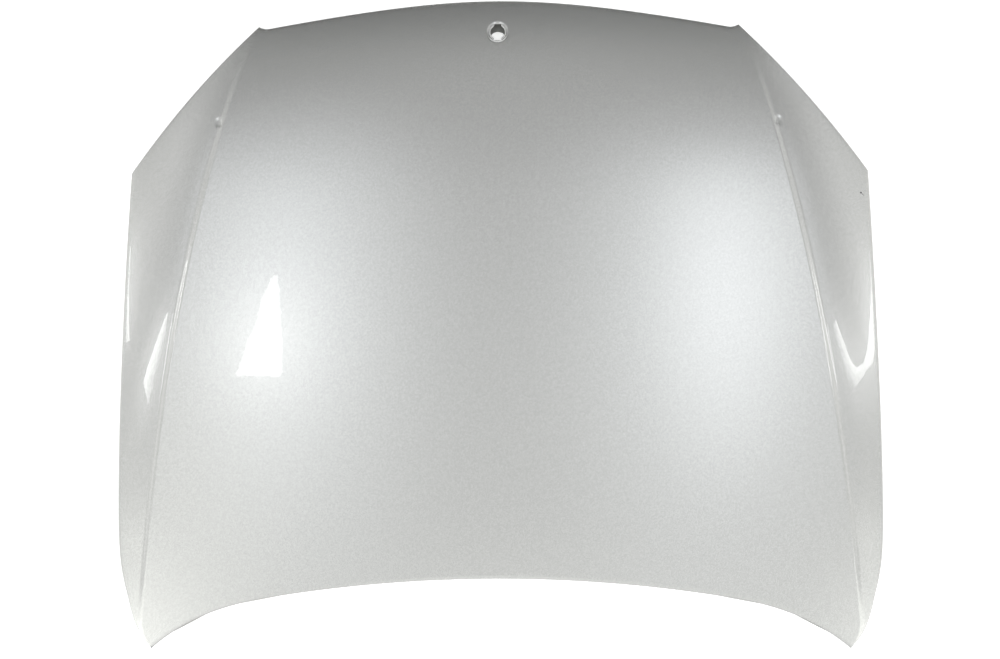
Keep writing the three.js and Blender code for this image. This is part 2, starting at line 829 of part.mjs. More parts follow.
const silverPaint = finish('#c6c8c4', 0.3, 0.6);
const primer = finish('#a9aba6', 0.55, 0.2);
const zincSteel = finish('#9b9c98', 0.45, 0.8);
const mastic = finish('#2f2f2e', 0.9, 0);

const bonnet = new THREE.Group();
bonnet.name = 'bonnet';

// The place is given in the frame of the pad that carries the piece
function addPiece(name, geometry, material, frame = new THREE.Matrix4(), place = new THREE.Vector3()) {
  const mesh = new THREE.Mesh(geometry, material);
  mesh.name = name;
  const placed = frame.clone().multiply(new THREE.Matrix4().setPosition(place));
  placed.decompose(mesh.position, mesh.quaternion, mesh.scale);
  bonnet.add(mesh);
}

const at = (x, y, z) => new THREE.Vector3(x, y, z);

addPiece('outer_panel', toGeometry(outerPanel()), silverPaint);
addPiece('inner_panel', toGeometry(innerPanel()), primer);

const nutSeat = plateThickness + 2 * sheetGap;
const plateInset = 2 * (innerThickness + plateMargin);
const hingeHoles = hingeBolts.map((y) => [0, y]);
const latchHoles = latchBolts.map((x) => [x, 0]);

for (const [side, word] of [[-1, 'left'], [1, 'right']]) {
  const frame = hingeFrame(side);
  const plate = padPlate(hingePadWidth - plateInset, hingePadLength - plateInset, hingeHoles);
  addPiece(`hinge_reinforcement_${word}`, plate, zincSteel, frame, at(0, 0, sheetGap));
  for (const [k, end] of ['rear', 'front'].entries()) {
    addPiece(`hinge_nut_${word}_${end}`, weldNut(), zincSteel, frame, at(0, hingeBolts[k], nutSeat));
  }
}

const latchPlate = padPlate(latchPadWidth - plateInset, latchPadLength - plateInset, latchHoles);
addPiece('latch_reinforcement', latchPlate, zincSteel, latchFrame, at(0, 0, sheetGap));

// The striker hangs below the latch pad on two bolts that reach up into the weld nuts
const strikerTop = -innerThickness - sheetGap;
const strikerBase = strikerTop - strikerPlateThickness - sheetGap;
const shankLength = nutSeat + nutHeight - strikerBase;
const strikerShape = roundedRect(strikerPlateWidth, strikerPlateLength, strikerCornerRadius);
latchHoles.forEach(([x, y]) => strikerShape.holes.push(circle(x, y, boltHoleRadius)));
const strikerPlate = prism(strikerShape, -strikerPlateThickness, 0, 4);
addPiece('striker_plate', strikerPlate, zincSteel, latchFrame, at(0, 0, strikerTop));
addPiece('striker_loop', strikerLoop(), zincSteel, latchFrame, at(0, 0, strikerBase));
for (const [k, word] of ['left', 'right'].entries()) {
  const x = latchBolts[k];
  addPiece(`latch_nut_${word}`, weldNut(), zincSteel, latchFrame, at(x, 0, nutSeat));
  addPiece(`striker_bolt_${word}`, strikerBolt(shankLength), zincSteel, latchFrame, at(x, 0, strikerBase));
}

let padNumber = 0;
for (let bead = 0; bead < beadCount; bead += 1) {
  for (const share of masticShares) {
    const centre = betweenStations(4 * bead + 1, rowAt(share));
    padNumber += 1;
    addPiece(`mastic_pad_${padNumber}`, masticPad(centre), mastic);
  }
}

// Bring the origin to the middle of the surface that the bonnet lies on
bonnet.updateMatrixWorld(true);
const box = new THREE.Box3().setFromObject(bonnet, true);
bonnet.position.set(-(box.min.x + box.max.x) / 2, -(box.min.y + box.max.y) / 2, -box.min.z);

export default bonnet;
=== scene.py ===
"""A bare silver car bonnet, lying skin up on a pale studio floor.

The painted skin is drawn again, finer, over the frame's outer panel: it keeps that panel's outline,
crown, creases, badge seat and folded hem. The other pieces keep their shapes and get their finishes.
"""

import math

import bmesh
import bpy
from mathutils import Euler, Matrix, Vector


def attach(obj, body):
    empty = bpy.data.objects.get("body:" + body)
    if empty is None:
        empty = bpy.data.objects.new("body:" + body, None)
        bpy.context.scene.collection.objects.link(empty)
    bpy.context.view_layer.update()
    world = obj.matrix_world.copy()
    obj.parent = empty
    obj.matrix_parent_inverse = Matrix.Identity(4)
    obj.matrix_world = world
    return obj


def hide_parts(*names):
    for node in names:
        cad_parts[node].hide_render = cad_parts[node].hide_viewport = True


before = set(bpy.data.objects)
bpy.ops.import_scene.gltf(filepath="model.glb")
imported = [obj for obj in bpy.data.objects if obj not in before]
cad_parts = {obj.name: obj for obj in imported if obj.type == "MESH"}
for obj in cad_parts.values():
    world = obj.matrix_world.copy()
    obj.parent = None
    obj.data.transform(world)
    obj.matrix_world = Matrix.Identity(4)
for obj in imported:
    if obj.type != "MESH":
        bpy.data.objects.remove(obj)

bl_info = {
    "name": "Car bonnet",
    "version": (1, 0, 0),
    "blender": (4, 5, 0),
    "location": "3D View > Sidebar > Bonnet",
    "description": "Painted skin, finishes, floor, lights and camera of a bare car bonnet",
    "category": "Object",
}

MM = 0.001

# The plan is drawn in millimetres: x across, s forward from the rear tips, h above the crown's top.
# These two bring it into the frame.
TIPS_Y = -644.5587
CROWN_Z = 139.9023

# Plan of the outer edge
LENGTH = 1290.0
CORNER = Vector((733.5, 950.0))
TIP_HALF_WIDTH = 698.0
REAR_SET_IN = 148.5
REAR_RADIUS = 2550.0
TIP_START = 425.0
EAR_HALF_WIDTH = 477.0
EAR_SET_BACK = 48.0
EAR_RISE = 8.5
EAR_WIDTH = 20.0
NOSE_SOFTNESS = 274.0
CUT_BOW = 7.0
SIDE_BOW = ((-8, 38), (10, 98), (26.5, 200), (24, 400), (12, 690))

# Crown, creases and pans
CROWN_FROM_TIPS = 650.0
CROWN_RADIUS_ALONG = 3240.0
CROWN_RADIUS_ACROSS = 3400.0
NOSE_ROLL = 440.0
CREASE_TAIL = 720.5
CREASE_TURN_IN = 60.0
CREASE_REAR_PULL = 679.0
CREASE_FRONT_PULL = 618.0
CREASE_FADE = 220.0
CREASE_FRONT_FADE = 330.0
CREASE_FRONT_END = 20.0
FLUTE_WIDTH = 13.0
FLUTE_STEP = 3.2
PAN_SLOPE = 0.05
PAN_RADIUS = 500.0

# Hem
HEM_RADIUS = 1.9
HEM_WIDTH = 15.0
HEM_STEPS = 6
HEM_RELIEF = 2.5
HEM_RELIEF_SLOPE = 0.8

# Badge seat
BADGE_FROM_NOSE = 66.0
BADGE_RADIUS = 22.0
BADGE_DEPTH = 2.6
BADGE_WALL = 6.5
BADGE_HOLE_RADIUS = 14.0
BADGE_KEY_WIDTH = 14.0
BADGE_KEY_REACH = 16.5
BADGE_REFINED = 50.0
BADGE_CUT_OUT = 34.0
BADGE_SURROUND = 60.0
BADGE_RINGS = (27.5, 25.5, 24.6, 23.7, 22.8, 21.9, 21, 20.2, 19.4, 18)

# Small dimples beside the creases
DIMPLE_FROM_NOSE = 243.0
DIMPLE_BEYOND_CREASE = 13.5
DIMPLE_HALF_WIDTH = 9.5
DIMPLE_HALF_LENGTH = 11.5
DIMPLE_DEPTH = 1.5
DIMPLE_WALL = 0.6
DIMPLE_REFINED = (26.0, 18.0)

# Mesh of the skin
MIDDLE_COLUMNS = 120
PAN_COLUMNS = 30
ROWS_BESIDE_CORNER = 112
ROWS_BESIDE_CUT = 40
CORNER_SHARE = 0.739
MIDDLE_CROWDING = 1.5
PAN_CROWDING = 1.8
SIDE_SAMPLES = 600
SLOPE_STEP = 2.0

# Sizes of the finishes' patterns. Real paint flakes are finer than a pixel; these just show.
FLAKE_SPACING = 2.4 * MM
PEEL_SPACING = 9 * MM
PEEL_DEPTH = 0.012 * MM
OVERSPRAY_CLOUD = 90 * MM
ZINC_CLOUD = 12 * MM
ZINC_GRAIN = 1.2 * MM
MASTIC_LUMP = 6 * MM
MASTIC_PIT = 1.5 * MM

# Bare spots in the paint and a dark spot at the left tip, in metres: place, reach each way, turn in
# degrees and raggedness
BARE_AND_DARK_SPOTS = (
    # chip beside the right corner, and its streak
    ((0.7167, 0.2603, 0.02), (0.0021, 0.0018, 0.1), 0, 1.2 * MM),
    ((0.7205, 0.2567, 0.02), (0.0035, 0.0006, 0.1), -48, 2.0 * MM),
    # scratch on the rear edge
    ((-0.0995, -0.4986, 0.0975), (0.0290, 0.0013, 0.0035), 2.2, 5.0 * MM),
    # dark spot at the left tip
    ((-0.6990, -0.6440, 0.0020), (0.0055, 0.0032, 0.0060), 20, 2.0 * MM),
)

# Camera, in metres and degrees, and floor
CAMERA_ACROSS = 0.1584
CAMERA_ALONG = 0.0566
CAMERA_TURN = (-0.67, 1.6, -0.17)
FLOOR_REACH = 14.0
FLOOR_GLOW = 0.60

# Soft lights of the studio: degrees sideways and forwards from straight up, their reach both ways in
# degrees, strength and tint
COOL = (0.92, 0.95, 1.0)
PLAIN = (1.0, 1.0, 0.995)
WARM = (1.0, 1.0, 0.955)
SOFT_LIGHTS = (
    ("left_core", (-21, 1), (9, 22), 0.5, COOL),
    ("left_bank", (-19, 6), (16, 40), 0.7, COOL),
    ("left_low", (-29, -15), (13, 24), 0.35, WARM),
    ("right_core", (18, 3), (9, 24), 1.1, COOL),
    ("right_bank", (17, 4), (19, 42), 0.53, COOL),
    ("left_crease", (-35, 12), (7, 24), 0.6, COOL),
    ("right_crease", (34, 10), (7, 24), 0.45, COOL),
    ("left_pan", (-56, 18), (20, 24), 0.42, PLAIN),
    ("right_pan", (58, 16), (20, 24), 0.42, PLAIN),
    ("left_pan_low", (-56, -12), (16, 16), 0.25, WARM),
    ("right_pan_low", (56, -12), (16, 16), 0.12, WARM),
    ("left_side", (-80, 0), (22, 50), 0.6, WARM),
    ("right_side", (80, 0), (22, 50), 0.6, WARM),
    ("rear", (0, -38), (42, 22), 0.42, WARM),
    ("rear_left", (-48, -34), (26, 24), 2.2, WARM),
    ("rear_right", (48, -34), (26, 24), 1.9, WARM),
    ("front_left", (-56, 42), (30, 30), 0.4, PLAIN),
    ("front_right", (56, 42), (30, 30), 0.5, PLAIN),
    ("front", (0, 50), (54, 38), 0.32, PLAIN),
    ("all_round", (0, -30), (400, 110), 0.8, PLAIN),
)

# Bright lamp faces over the bonnet: height in metres, strength, and across each face the corners of its
# sharp edge and of the edge that it fades to, with the share of its light that is left there
CARDS = (
    ("left_lamp", 4.0, 2.8,
     ((-1.93, 0.37), (-2.03, 0.18), (-2.07, -0.02), (-2.16, -0.18), (-2.19, -0.28), (-2.27, -0.47)),
     ((-1.89, 0.37, 1.0), (-1.87, 0.18, 1.0), (-1.86, -0.02, 1.0), (-1.85, -0.18, 1.0),
      (-1.85, -0.28, 1.0), (-1.86, -0.47, 1.0))),
    ("left_bar", 2.6, 5.5,
     ((-2.89, 0.17), (-3.13, 0.02), (-3.44, -0.17), (-3.57, -0.29), (-3.23, -0.46)),
     ((-2.84, 0.17, 0.3), (-2.80, -0.03, 0.0), (-2.93, -0.19, 0.0), (-3.02, -0.30, 0.0),
      (-3.20, -0.46, 0.3))),
    ("left_far_bar", 2.6, 5.0,
     ((-6.61, 1.30), (-5.47, 0.59), (-4.87, 0.15)),
     ((-7.63, 1.50, 0.8), (-6.19, 0.68, 0.8), (-5.29, 0.14, 0.2))),
    ("right_bar", 2.6, 4.6,
     ((2.77, 0.12), (2.94, -0.01), (3.13, -0.13), (3.37, -0.18), (3.73, -0.12), (4.09, 0.02),
      (4.57, 0.33), (5.37, 0.90), (6.00, 1.19)),
     ((2.60, 0.05, 0.0), (2.72, -0.12, 0.0), (2.88, -0.28, 0.0), (3.20, -0.34, 0.2), (3.81, -0.18, 0.8),
      (4.33, -0.06, 0.8), (4.84, 0.17, 0.8), (5.31, 0.55, 0.8), (5.90, 0.95, 0.8))),
)

EAR_S = LENGTH - EAR_SET_BACK
BADGE_S = LENGTH - BADGE_FROM_NOSE
TIP = Vector((TIP_HALF_WIDTH, 0.0))
EAR = Vector((EAR_HALF_WIDTH, EAR_S))
SIDE_POINTS = [TIP] + [Vector((CORNER.x + x, s)) for x, s in SIDE_BOW] + [CORNER]


def linear(hex_colour):
    """Scene-linear RGBA of an sRGB hex colour."""
    channels = [int(hex_colour[k:k + 2], 16) / 255 for k in (0, 2, 4)]
    return [c / 12.92 if c <= 0.04045 else ((c + 0.055) / 1.055) ** 2.4 for c in channels] + [1.0]


def clamp(value, low=0.0, high=1.0):
    return max(low, min(high, value))


def smooth(t):
    """Smooth step from 0 to 1."""
    t = clamp(t)
    return t * t * (3 - 2 * t)


# Plan curves

def rear_edge(x):
    """Hollow rear edge, which runs back into the two tips."""
    past = max(abs(x) - TIP_START, 0) / (TIP_HALF_WIDTH - TIP_START)
    tip_fall = REAR_SET_IN - TIP_HALF_WIDTH ** 2 / (2 * REAR_RADIUS)
    return REAR_SET_IN - x * x / (2 * REAR_RADIUS) - tip_fall * past ** 3


def front_edge(x):
    """Swept nose edge, which turns up into an ear at each end."""
    def sweep(a):
        return math.hypot(a, NOSE_SOFTNESS) - NOSE_SOFTNESS
    ear = max(abs(x) - (EAR_HALF_WIDTH - EAR_WIDTH), 0) / EAR_WIDTH
    fall = (EAR_SET_BACK + EAR_RISE) * sweep(x) / sweep(EAR_HALF_WIDTH)
    return LENGTH - fall + EAR_RISE * ear * ear


def spline_point(points, t):
    """Point of a smooth curve through the points, t from 0 to 1."""
    place = t * (len(points) - 1)
    k = min(int(place), len(points) - 2)
    w = place - k
    before = points[max(k - 1, 0)]
    after = points[min(k + 2, len(points) - 1)]
    start, end = points[k], points[k + 1]
    leave = (end - before) / 2
    arrive = (after - start) / 2
    return ((2 * w ** 3 - 3 * w * w + 1) * start + (w ** 3 - 2 * w * w + w) * leave
            + (3 * w * w - 2 * w ** 3) * end + (w ** 3 - w * w) * arrive)


def evenly(points, shares):
    """Points at the given shares of a polyline's length."""
    lengths = [0.0]
    for a, b in zip(points, points[1:]):
        lengths.append(lengths[-1] + (b - a).length)
    found = []
    for share in shares:
        target = share * lengths[-1]
        k = 1
        while k < len(lengths) - 1 and lengths[k] < target:
            k += 1
        t = (target - lengths[k - 1]) / (lengths[k] - lengths[k - 1])
        found.append(points[k - 1].lerp(points[k], clamp(t)))
    return found


def cut_point(t):
    """Point of the headlight cut, from the corner to the ear."""
    across = (EAR - CORNER).normalized()
    bulge = (CORNER + EAR) / 2 + Vector((across.y, -across.x)) * 2 * CUT_BOW
    return CORNER * (1 - t) ** 2 + bulge * 2 * t * (1 - t) + EAR * t * t


def crease_half_width(s):
    """Half the distance between the creases."""
    t = clamp(s / EAR_S)
    rear = CREASE_TAIL * (1 - t) ** 3 + 3 * CREASE_REAR_PULL * t * (1 - t) ** 2
    front = 3 * CREASE_FRONT_PULL * t * t * (1 - t) + EAR_HALF_WIDTH * t ** 3
    turn_in = max(1 - s / CREASE_TURN_IN, 0)
    return rear + front - (CREASE_TAIL - TIP_HALF_WIDTH) * turn_in ** 2


# Heights

def crown(x, s):
    """Fall of the crowned middle below its top."""
    return -((s - CROWN_FROM_TIPS) ** 2) / (2 * CROWN_RADIUS_ALONG) - x * x / (2 * CROWN_RADIUS_ACROSS)


def roll_at(s):
    """Share of the nose roll that is passed."""
    return max(s - (LENGTH - NOSE_ROLL), 0) / NOSE_ROLL


ROLL_DROP = (crown(*EAR) - crown(*TIP)) / roll_at(EAR_S) ** 3


def panel_height(x, s):
    """Height of the crown, nose roll, crease step and pans together."""
    beyond = max(abs(x) - crease_half_width(s), 0)
    fade = smooth((EAR_S - CREASE_FRONT_END - s) / CREASE_FRONT_FADE) * smooth(s / CREASE_FADE)
    flute = FLUTE_STEP * fade * smooth(beyond / FLUTE_WIDTH)
    pan = PAN_SLOPE * beyond + beyond * beyond / (2 * PAN_RADIUS)
    return crown(x, s) - ROLL_DROP * roll_at(s) ** 3 - flute - pan


def dish_depth(x, s):
    """How far the badge seat is pressed in here."""
    radius = math.hypot(x, s - BADGE_S)
    return BADGE_DEPTH * smooth((BADGE_RADIUS + 1.0 - radius) / BADGE_WALL)


DIMPLE_S = LENGTH - DIMPLE_FROM_NOSE
DIMPLE = Vector((crease_half_width(DIMPLE_S) + DIMPLE_BEYOND_CREASE, DIMPLE_S))


def dimple_depth(x, s):
    """How far a dimple is pressed in here."""
    out = math.hypot((abs(x) - DIMPLE.x) / DIMPLE_HALF_WIDTH, (s - DIMPLE.y) / DIMPLE_HALF_LENGTH)
    return DIMPLE_DEPTH * smooth((1 - out) / DIMPLE_WALL)


def skin_height(x, s):
    return panel_height(x, s) - dish_depth(x, s) - dimple_depth(x, s)


def skin_normal(x, s):
    """Normal of the panel itself, without its badge seat and dimples."""
    e = SLOPE_STEP
    dx = (panel_height(x + e, s) - panel_height(x - e, s)) / (2 * e)
    ds = (panel_height(x, s + e) - panel_height(x, s - e)) / (2 * e)
    return Vector((-dx, -ds, 1)).normalized()


def in_frame(x, s, h):
    """A plan point and its height, in the frame's metres."""
    return Vector((x, s + TIPS_Y, h + CROWN_Z)) * MM


def under(p, depth):
    """Frame place at a depth below the panel, along its normal."""
    n = skin_normal(p.x, p.y)
    q = Vector((p.x, p.y, panel_height(p.x, p.y))) - n * depth
    return in_frame(*q)


# Stations of the skin's mesh

def middle_shares():
    """Shares of the crease's half width, closer together towards the creases."""
    half = MIDDLE_COLUMNS // 2
    right = [1 - (1 - k / half) ** MIDDLE_CROWDING for k in range(half + 1)]
    return [-share for share in reversed(right[1:])] + right


def row_shares():
    """Shares of the length for the rows, counted apart beside the corner and the cut."""
    rear = [CORNER_SHARE * k / ROWS_BESIDE_CORNER for k in range(ROWS_BESIDE_CORNER)]
    cut = [CORNER_SHARE + (1 - CORNER_SHARE) * k / ROWS_BESIDE_CUT for k in range(ROWS_BESIDE_CUT + 1)]
    return rear + cut


def right_edge_points(shares):
    """The right side edge and headlight cut at the given shares of the crease's length."""
    dense = [spline_point(SIDE_POINTS, k / SIDE_SAMPLES) for k in range(SIDE_SAMPLES + 1)]
    beside = evenly(dense, [v / CORNER_SHARE for v in shares if v <= CORNER_SHARE])
    cut = [cut_point((v - CORNER_SHARE) / (1 - CORNER_SHARE)) for v in shares if v > CORNER_SHARE]
    return beside + cut


def inward_steps(loop):
    """Step at each point of a loop that moves both its edges inwards by one millimetre."""
    steps = []
    for k, p in enumerate(loop):
        a = (p - loop[k - 1]).normalized()
        b = (loop[(k + 1) % len(loop)] - p).normalized()
        na = Vector((-a.y, a.x))
        nb = Vector((-b.y, b.x))
        n = (na + nb).normalized()
        steps.append(n / max(n.dot(nb), 0.5))
    return steps


class SkinPlan:
    """Plan positions of the skin's grid, its edge loop and the steps into it."""

    def __init__(self):
        self.across = middle_shares()
        self.along = row_shares()
        right = right_edge_points(self.along)
        rear = [Vector((u * TIP_HALF_WIDTH, rear_edge(u * TIP_HALF_WIDTH))) for u in self.across]
        front = [Vector((u * EAR_HALF_WIDTH, front_edge(u * EAR_HALF_WIDTH))) for u in self.across]
        left = [Vector((-p.x, p.y)) for p in right]
        self.loop = rear + right[1:-1] + front[::-1] + left[1:-1][::-1]
        self.steps = inward_steps(self.loop)
        self.last_column = len(self.across) - 1
        self.last_row = len(self.along) - 1
        self.rim = [p + step * HEM_RADIUS for p, step in zip(self.loop, self.steps)]

    def rear_index(self, i):
        return i

    def right_index(self, j):
        return self.last_column + j

    def front_index(self, i):
        return 2 * self.last_column + self.last_row - i

    def crease_point(self, j):
        """The right crease at a row, drawn in to the rim at both ends."""
        v = self.along[j]
        s = EAR_S * v
        p = Vector((crease_half_width(s), s))
        rear = self.rim[self.right_index(0)] - TIP
        front = self.rim[self.right_index(self.last_row)] - EAR
        return p + rear * (1 - v) ** 8 + front * v ** 8

    def middle_point(self, i, j):
        u, v = self.across[i], self.along[j]
        rear = self.rim[self.rear_index(i)]
        front = self.rim[self.front_index(i)]
        if j == 0:
            return rear
        if j == self.last_row:
            return front
        crease = self.crease_point(j)
        rear_end = self.rim[self.right_index(0)]
        front_end = self.rim[self.right_index(self.last_row)]
        x = u * crease.x
        s = crease.y + (rear.y - rear_end.y) * (1 - v) ** 2 + (front.y - front_end.y) * v ** 2
        return Vector((x, s))

    def pan_point(self, share, j):
        """A point of the right pan: share 0 at the crease, 1 at the rim."""
        if j in (0, self.last_row):
            return self.rim[self.right_index(j)]
        return self.crease_point(j).lerp(self.rim[self.right_index(j)], share ** PAN_CROWDING)

    def point(self, column, j):
        """Column counted from the left rim to the right rim."""
        i = column - PAN_COLUMNS
        if 0 <= i <= self.last_column:
            return self.middle_point(i, j)
        if i > self.last_column:
            return self.pan_point((i - self.last_column) / PAN_COLUMNS, j)
        p = self.pan_point(-i / PAN_COLUMNS, j)
        return Vector((-p.x, p.y))


# Mesh steps

def near(bm, centre, reach):
    """Faces whose middle lies within reach of a plan point."""
    return [f for f in bm.faces if (f.calc_center_median().xy - centre).length < reach]


def refine(bm, centre, reach):
    """Splits the faces round a small feature in four."""
    faces = set(near(bm, centre, reach))
    edges = [e for e in bm.edges if any(f in faces for f in e.link_faces)]
    bmesh.ops.subdivide_edges(bm, edges=edges, cuts=1, use_grid_fill=True)


def ordered_loop(edges):
    """The vertices of one closed loop of edges, in order."""
    links = {}
    for e in edges:
        for v in e.verts:
            links.setdefault(v, []).append(e)
    first = edges[0].verts[0]
    ring, vertex, edge = [first], edges[0].other_vert(first), edges[0]
    while vertex is not first:
        ring.append(vertex)
        edge = next(e for e in links[vertex] if e is not edge)
        vertex = edge.other_vert(vertex)
    return ring


def extrude_ring(bm, ring, places):
    """Draws a ring of vertices on to the next places, with faces between."""
    wanted = set(ring)
    edges = [e for e in bm.edges if e.is_boundary and e.verts[0] in wanted and e.verts[1] in wanted]
    made = bmesh.ops.extrude_edge_only(bm, edges=edges)["geom"]
    new = {}
    for vertex in (g for g in made if isinstance(g, bmesh.types.BMVert)):
        for e in vertex.link_edges:
            other = e.other_vert(vertex)
            if other in wanted:
                new[other] = vertex
    result = [new[v] for v in ring]
    for vertex, place in zip(result, places):
        vertex.co = place
    return result


def key_hole_radius(turn):
    """Radius of the keyed hole in the direction of an angle."""
    across, along = abs(math.cos(turn)), abs(math.sin(turn))
    reach = min(
        BADGE_KEY_WIDTH / 2 / across if across > 1e-6 else 1e6,
        BADGE_KEY_REACH / along if along > 1e-6 else 1e6,
    )
    return max(BADGE_HOLE_RADIUS, reach)


def winding(turns):
    """1 where the angles round a ring grow, -1 where they fall."""
    total = 0.0
    for k, turn in enumerate(turns):
        total += (turns[(k + 1) % len(turns)] - turn + math.pi) % (2 * math.pi) - math.pi
    return 1 if total > 0 else -1


def open_badge_seat(bm):
    """Replaces the flat faces under the badge by rings that close on the keyed hole."""
    centre = Vector((0.0, BADGE_S))
    refine(bm, centre, BADGE_REFINED)
    bmesh.ops.delete(bm, geom=near(bm, centre, BADGE_CUT_OUT), context="FACES")
    inside = [
        e for e in bm.edges
        if e.is_boundary and all((v.co.xy - centre).length < BADGE_SURROUND for v in e.verts)
    ]
    ring = ordered_loop(inside)
    turns = [math.atan2(v.co.y - BADGE_S, v.co.x) for v in ring]
    direction = winding(turns)
    even = [turns[0] + direction * (2 * math.pi * k / len(ring)) for k in range(len(ring))]
    current = ring
    for radius in BADGE_RINGS:
        current = extrude_ring(bm, current, [
            Vector((radius * math.cos(t), BADGE_S + radius * math.sin(t), 0)) for t in even
        ])
    extrude_ring(bm, current, [
        Vector((key_hole_radius(t) * math.cos(t), BADGE_S + key_hole_radius(t) * math.sin(t), 0))
        for t in even
    ])


def hem_widths(plan):
    """Width of the folded flange round the loop, relieved at the sharp corners."""
    last = len(plan.loop)
    corners = [0, plan.last_column, plan.front_index(plan.last_column), plan.front_index(0)]
    corners += [plan.right_index(ROWS_BESIDE_CORNER), last - ROWS_BESIDE_CORNER]
    widths = []
    for p in plan.loop:
        distance = min((p - plan.loop[c]).length for c in corners)
        widths.append(min(HEM_WIDTH, HEM_RELIEF + HEM_RELIEF_SLOPE * distance))
    return widths


def fold_hem(bm, plan):
    """Rolls the edge of the lifted skin over and folds it back under itself."""
    rim_edges = [e for e in bm.edges if e.is_boundary]
    tags = bm.verts.layers.int["loop_index"]
    ring = [None] * len(plan.loop)
    for e in rim_edges:
        for v in e.verts:
            if v[tags] >= 0:
                ring[v[tags]] = v
    current = ring
    for step in range(1, HEM_STEPS + 1):
        turn = math.pi * step / HEM_STEPS
        inset = HEM_RADIUS * (1 - math.sin(turn))
        depth = HEM_RADIUS * (1 - math.cos(turn))
        current = extrude_ring(bm, current, [
            under(p + s * inset, depth) for p, s in zip(plan.loop, plan.steps)
        ])
    widths = hem_widths(plan)
    for share in (0.5, 1.0):
        current = extrude_ring(bm, current, [
            under(p + s * (HEM_RADIUS + (w - HEM_RADIUS) * share), 2 * HEM_RADIUS)
            for p, s, w in zip(plan.loop, plan.steps, widths)
        ])


def build_skin_mesh():
    """Grid over the whole plan, opened at the badge, lifted to its heights and hemmed."""
    plan = SkinPlan()
    columns = MIDDLE_COLUMNS + 2 * PAN_COLUMNS
    rows = plan.last_row
    bm = bmesh.new()
    bmesh.ops.create_grid(bm, x_segments=columns, y_segments=rows, size=1)
    tags = bm.verts.layers.int.new("loop_index")
    for v in bm.verts:
        column = round((v.co.x + 1) / 2 * columns)
        row = round((v.co.y + 1) / 2 * rows)
        i = clamp(column - PAN_COLUMNS, 0, plan.last_column)
        v[tags] = -1
        if row == 0:
            v[tags] = plan.rear_index(i)
        elif row == rows:
            v[tags] = plan.front_index(i)
        elif column == columns:
            v[tags] = plan.right_index(row)
        elif column == 0:
            v[tags] = 2 * plan.last_column + 2 * plan.last_row - row
        v.co = plan.point(column, row).to_3d()
    bmesh.ops.remove_doubles(bm, verts=bm.verts, dist=0.01)
    open_badge_seat(bm)
    for side in (-1, 1):
        centre = Vector((side * DIMPLE.x, DIMPLE.y))
        for reach in DIMPLE_REFINED:
            refine(bm, centre, reach)
    for v in bm.verts:
        v.co = in_frame(v.co.x, v.co.y, skin_height(v.co.x, v.co.y))
    fold_hem(bm, plan)
    for f in bm.faces:
        f.smooth = True
    bmesh.ops.dissolve_degenerate(bm, edges=bm.edges, dist=1e-6)
    mesh = bpy.data.meshes.new("painted_skin")
    bm.to_mesh(mesh)
    bm.free()
    return mesh


# Materials

def add_node(tree, kind, settings=None, links=None):
    """Adds a node, sets its attributes or input values, and links its inputs."""
    node = tree.nodes.new(kind)
    for name, value in (settings or {}).items():
        if name in node.inputs:
            node.inputs[name].default_value = value
        else:
            setattr(node, name, value)
    for name, socket in (links or {}).items():
        tree.links.new(socket, node.inputs[name])
    return node


def mix_colours(tree, share, first, second):
    """Colour that goes from the first to the second by a share; either may be a socket."""
    node = add_node(tree, "ShaderNodeMix", {"data_type": "RGBA"})
    tree.links.new(share, node.inputs[0])
    for socket, colour in ((node.inputs[6], first), (node.inputs[7], second)):
        if isinstance(colour, bpy.types.NodeSocket):
            tree.links.new(colour, socket)
        else:
            socket.default_value = colour
    return node.outputs[2]


def new_material(name):
    material = bpy.data.materials.new(name)
    material.use_nodes = True
    tree = material.node_tree
    tree.nodes.clear()
    return material, tree


def object_place(tree):
    return add_node(tree, "ShaderNodeTexCoord").outputs["Object"]


def noise(tree, place, spacing, detail):
    """Cloudy noise whose clouds lie a spacing in metres apart."""
    node = add_node(tree, "ShaderNodeTexNoise", {"Scale": 1 / spacing, "Detail": detail},
                    {"Vector": place})
    return node.outputs["Fac"]


def cells(tree, place, spacing, output):
    """Colour or distance of cells that lie a spacing in metres apart."""
    node = add_node(tree, "ShaderNodeTexVoronoi", {"Scale": 1 / spacing}, {"Vector": place})
    return node.outputs[output]


def ranged(tree, value, before, after=(0.0, 1.0)):
    """Value carried from one range to another and held at its ends."""
    node = add_node(tree, "ShaderNodeMapRange", {
        "From Min": before[0], "From Max": before[1], "To Min": after[0], "To Max": after[1],
    }, {"Value": value})
    return node.outputs[0]


def patch(tree, place, centre, reach, turn=0.0, ragged=1.5 * MM):
    """Share that is 1 inside a small ragged ellipse on the surface and 0 outside it."""
    aside = add_node(tree, "ShaderNodeMapping", {
        "vector_type": "TEXTURE",
        "Location": centre,
        "Rotation": (0, 0, math.radians(turn)),
        "Scale": reach,
    }, {"Vector": place})
    distance = add_node(tree, "ShaderNodeVectorMath", {"operation": "LENGTH"})
    tree.links.new(aside.outputs[0], distance.inputs[0])
    broken = add_node(tree, "ShaderNodeMath", {"operation": "MULTIPLY_ADD"})
    tree.links.new(noise(tree, place, ragged, 3.0), broken.inputs[0])
    broken.inputs[1].default_value = 1.2
    tree.links.new(distance.outputs["Value"], broken.inputs[2])
    return ranged(tree, broken.outputs[0], (1.65, 1.35))


def bump(tree, height, depth, below=None):
    """Normal of a relief whose height runs from 0 to 1 over a depth in metres."""
    node = add_node(tree, "ShaderNodeBump", {"Strength": 1.0, "Distance": depth}, {"Height": height})
    if below is not None:
        tree.links.new(below, node.inputs["Normal"])
    return node.outputs[0]


def larger(tree, shares):
    """Largest of several shares."""
    total = shares[0]
    for share in shares[1:]:
        node = add_node(tree, "ShaderNodeMath", {"operation": "MAXIMUM"})
        tree.links.new(total, node.inputs[0])
        tree.links.new(share, node.inputs[1])
        total = node.outputs[0]
    return total


